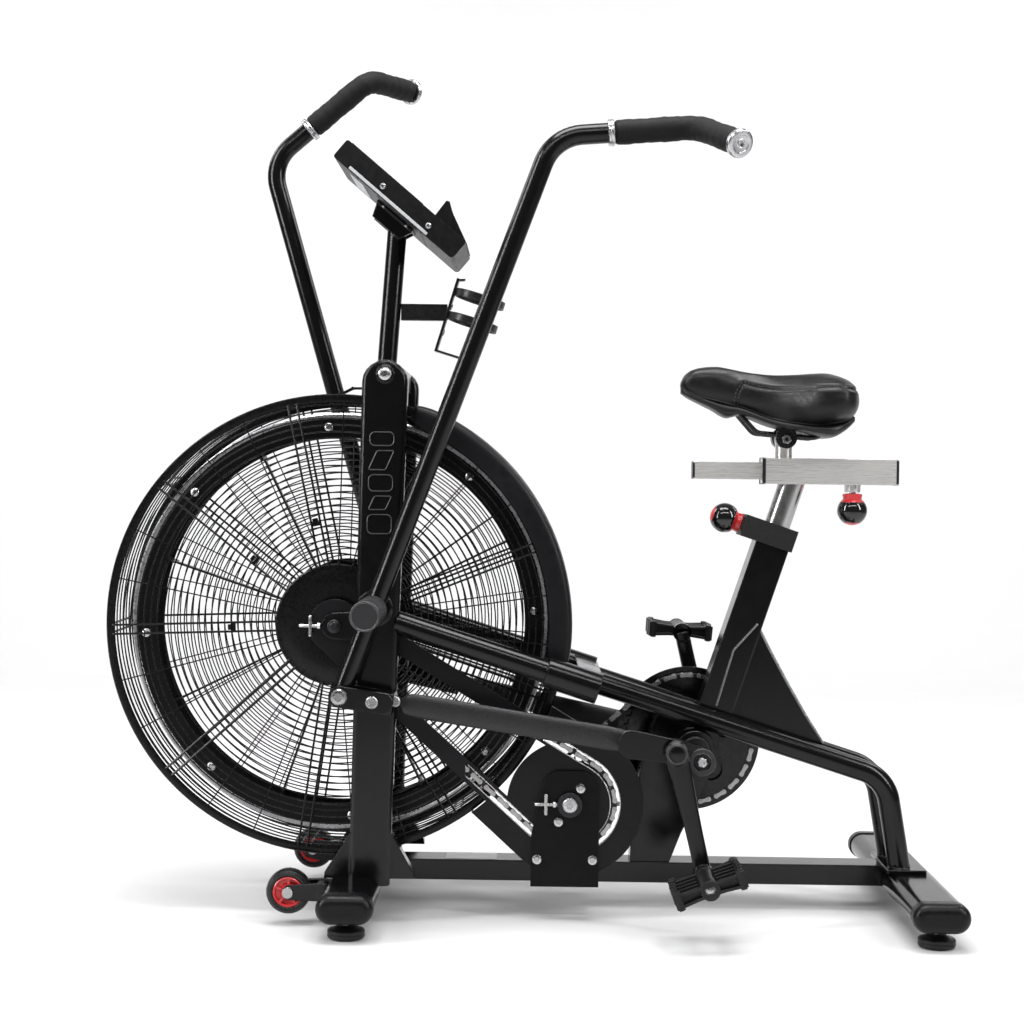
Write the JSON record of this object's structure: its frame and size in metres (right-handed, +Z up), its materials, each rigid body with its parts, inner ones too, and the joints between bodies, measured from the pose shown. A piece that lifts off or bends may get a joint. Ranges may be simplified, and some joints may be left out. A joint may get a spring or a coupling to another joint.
{
  "type": "air bike",
  "caption": "Air bike with a caged fan wheel, coupled swinging arms and cranks, chain drive, console and adjustable saddle.",
  "frame": {"origin": "centre of the machine's footprint box on the floor", "axes": "+Z up, +X from the fan towards the saddle, the rider faces -X and the rider's left is -Y"},
  "size_m": [1.2074, 0.6, 1.2688],
  "materials": {
    "frame_paint": "gloss black powder coat",
    "guard_paint": "matte black powder coat",
    "cage_wire": "gloss black coated wire",
    "fan_wheel": "satin black with bright rim edge",
    "end_cap": "textured black rubber",
    "foot_rubber": "black rubber levelling foot",
    "wheel": "red hub with black tyre",
    "grip_foam": "matte black foam rubber",
    "peg_metal": "knurled dark metal",
    "bright_trim": "turned bright aluminium",
    "link_paint": "textured dark grey powder coat",
    "chrome": "polished chrome",
    "brushed": "brushed stainless steel",
    "fastener": "zinc plated",
    "chain_steel": "nickel plated chain",
    "chainwheel_black": "satin black",
    "pedal_resin": "black moulded resin",
    "knob": "gloss black ball with red collar",
    "collar": "textured black",
    "console_case": "fine textured black",
    "screen": "dark display window",
    "cage_strap": "black coated strap",
    "leather": "black saddle cover",
    "rail_steel": "black saddle rails and clamp"
  },
  "bodies": {
    "root": {"front_stabilizer": "frame_paint", "rear_stabilizer": "frame_paint", "stabilizer_caps": "end_cap", "base_tube": "frame_paint", "left_upright": "frame_paint", "right_upright": "frame_paint", "console_mast": "frame_paint", "console_housing": "console_case", "console_screen": "screen", "bottle_cage": "cage_strap", "front_frame_tubes": "frame_paint", "rear_frame_tubes": "frame_paint", "crank_support": "frame_paint", "seat_tube": "frame_paint", "seat_collar": "collar", "left_fan_grille": "cage_wire", "right_fan_grille": "cage_wire", "cage_hoops": "cage_wire", "wind_guard": "guard_paint", "fan_axle": "fastener", "chain_guard": "guard_paint", "drive_chains": "chain_steel", "jackshaft_bracket": "frame_paint", "bearings": "fastener", "frame_bolts": "fastener"},
    "front_left_foot": {"front_left_foot": "foot_rubber"},
    "front_right_foot": {"front_right_foot": "foot_rubber"},
    "rear_left_foot": {"rear_left_foot": "foot_rubber"},
    "rear_right_foot": {"rear_right_foot": "foot_rubber"},
    "left_transport_wheel": {"left_transport_wheel": "wheel"},
    "right_transport_wheel": {"right_transport_wheel": "wheel"},
    "left_arm": {"left_arm": "frame_paint", "left_grip": "grip_foam", "left_grip_trim": "bright_trim", "left_foot_peg": "peg_metal"},
    "left_link": {"left_link": "link_paint"},
    "right_arm": {"right_arm": "frame_paint", "right_grip": "grip_foam", "right_grip_trim": "bright_trim", "right_foot_peg": "peg_metal"},
    "right_link": {"right_link": "link_paint"},
    "crank": {"crank_axle": "fastener", "chainwheel": "chainwheel_black", "left_crank": "frame_paint", "right_crank": "frame_paint"},
    "left_rod_end": {"left_rod_end": "frame_paint"},
    "left_pedal": {"left_pedal": "pedal_resin"},
    "right_rod_end": {"right_rod_end": "frame_paint"},
    "right_pedal": {"right_pedal": "pedal_resin"},
    "jackshaft": {"jackshaft": "fastener"},
    "fan": {"fan_rotor": "fan_wheel"},
    "seat_post": {"seat_post": "chrome", "slider_tube": "brushed"},
    "slider": {"slider_bar": "brushed"},
    "saddle": {"saddle_cushion": "leather", "saddle_frame": "rail_steel"},
    "post_knob": {"post_knob": "knob"},
    "slider_knob": {"slider_knob": "knob"},
    "console_button_left": {"console_button_left": "console_case"},
    "console_button_right": {"console_button_right": "console_case"}
  },
  "joints": [
    {"name": "front_left_foot_height", "type": "slide", "parent": "root", "child": "front_left_foot", "axis": [0, 0, -1], "range_m": [0, 0.01]},
    {"name": "front_right_foot_height", "type": "slide", "parent": "root", "child": "front_right_foot", "axis": [0, 0, -1], "range_m": [0, 0.01]},
    {"name": "rear_left_foot_height", "type": "slide", "parent": "root", "child": "rear_left_foot", "axis": [0, 0, -1], "range_m": [0, 0.01]},
    {"name": "rear_right_foot_height", "type": "slide", "parent": "root", "child": "rear_right_foot", "axis": [0, 0, -1], "range_m": [0, 0.01]},
    {"name": "left_wheel_spin", "type": "hinge", "parent": "root", "child": "left_transport_wheel", "pos_m": [-0.32875, -0.15, 0.047], "axis": [0, 1, 0], "continuous": true},
    {"name": "right_wheel_spin", "type": "hinge", "parent": "root", "child": "right_transport_wheel", "pos_m": [-0.32875, 0.15, 0.047], "axis": [0, 1, 0], "continuous": true},
    {"name": "left_arm_swing", "type": "hinge", "parent": "root", "child": "left_arm", "pos_m": [-0.21335, -0.164, 0.4449], "axis": [0, -1, 0], "range_deg": [0, 36.4]},
    {"name": "right_arm_swing", "type": "hinge", "parent": "root", "child": "right_arm", "pos_m": [-0.21335, 0.164, 0.4449], "axis": [0, -1, 0], "range_deg": [-36.4, 0]},
    {"name": "left_link_pivot", "type": "hinge", "parent": "left_arm", "child": "left_link", "pos_m": [-0.25755, -0.164, 0.32477], "axis": [0, -1, 0], "range_deg": [-39.78, 0]},
    {"name": "right_link_pivot", "type": "hinge", "parent": "right_arm", "child": "right_link", "pos_m": [-0.17764, 0.164, 0.32198], "axis": [0, -1, 0], "range_deg": [0, 39.78]},
    {"name": "fan_spin", "type": "hinge", "parent": "root", "child": "fan", "pos_m": [-0.27275, 0, 0.4165], "axis": [0, -1, 0], "continuous": true},
    {"name": "crank_spin", "type": "hinge", "parent": "root", "child": "crank", "pos_m": [0.24725, 0, 0.238], "axis": [0, -1, 0], "continuous": true},
    {"name": "jackshaft_spin", "type": "hinge", "parent": "root", "child": "jackshaft", "pos_m": [0.06525, 0, 0.167], "axis": [0, -1, 0], "continuous": true},
    {"name": "left_rod_end_pivot", "type": "hinge", "parent": "crank", "child": "left_rod_end", "pos_m": [0.21016, -0.171, 0.25298], "axis": [0, -1, 0], "continuous": true},
    {"name": "right_rod_end_pivot", "type": "hinge", "parent": "crank", "child": "right_rod_end", "pos_m": [0.28434, 0.171, 0.22302], "axis": [0, -1, 0], "continuous": true},
    {"name": "left_pedal_spin", "type": "hinge", "parent": "crank", "child": "left_pedal", "pos_m": [0.24925, -0.245, 0.086], "axis": [0, -1, 0], "continuous": true},
    {"name": "right_pedal_spin", "type": "hinge", "parent": "crank", "child": "right_pedal", "pos_m": [0.24525, 0.245, 0.39], "axis": [0, -1, 0], "continuous": true},
    {"name": "seat_height", "type": "slide", "parent": "root", "child": "seat_post", "axis": [0.314, 0, 0.9494], "range_m": [-0.035, 0.1]},
    {"name": "seat_fore_aft", "type": "slide", "parent": "seat_post", "child": "slider", "axis": [1, 0, 0], "range_m": [0, 0.045]},
    {"name": "saddle_tilt", "type": "hinge", "parent": "slider", "child": "saddle", "pos_m": [0.37625, 0, 0.692], "axis": [0, 1, 0], "range_deg": [-6, 6]},
    {"name": "post_knob_pull", "type": "slide", "parent": "root", "child": "post_knob", "axis": [-0.9494, 0, 0.314], "range_m": [0, 0.008], "stiffness_N_per_m": 900, "springref_m": -0.005},
    {"name": "slider_knob_pull", "type": "slide", "parent": "seat_post", "child": "slider_knob", "axis": [0, 0, -1], "range_m": [0, 0.008], "stiffness_N_per_m": 900, "springref_m": -0.005},
    {"name": "console_button_left_press", "type": "slide", "parent": "root", "child": "console_button_left", "axis": [-0.6441, 0, -0.7649], "range_m": [0, 0.002], "stiffness_N_per_m": 500, "springref_m": -0.002},
    {"name": "console_button_right_press", "type": "slide", "parent": "root", "child": "console_button_right", "axis": [-0.6441, 0, -0.7649], "range_m": [0, 0.002], "stiffness_N_per_m": 500, "springref_m": -0.002}
  ],
  "couplings": [
    {"joint": "right_arm_swing", "follows": "left_arm_swing", "ratio": -1},
    {"joint": "left_link_pivot", "follows": "left_arm_swing", "ratio": -1.0925},
    {"joint": "right_link_pivot", "follows": "left_arm_swing", "ratio": 1.0925},
    {"joint": "crank_spin", "follows": "fan_spin", "ratio": 0.125},
    {"joint": "jackshaft_spin", "follows": "fan_spin", "ratio": 0.375},
    {"joint": "left_rod_end_pivot", "follows": "fan_spin", "ratio": -0.125},
    {"joint": "right_rod_end_pivot", "follows": "fan_spin", "ratio": -0.125}
  ]
}
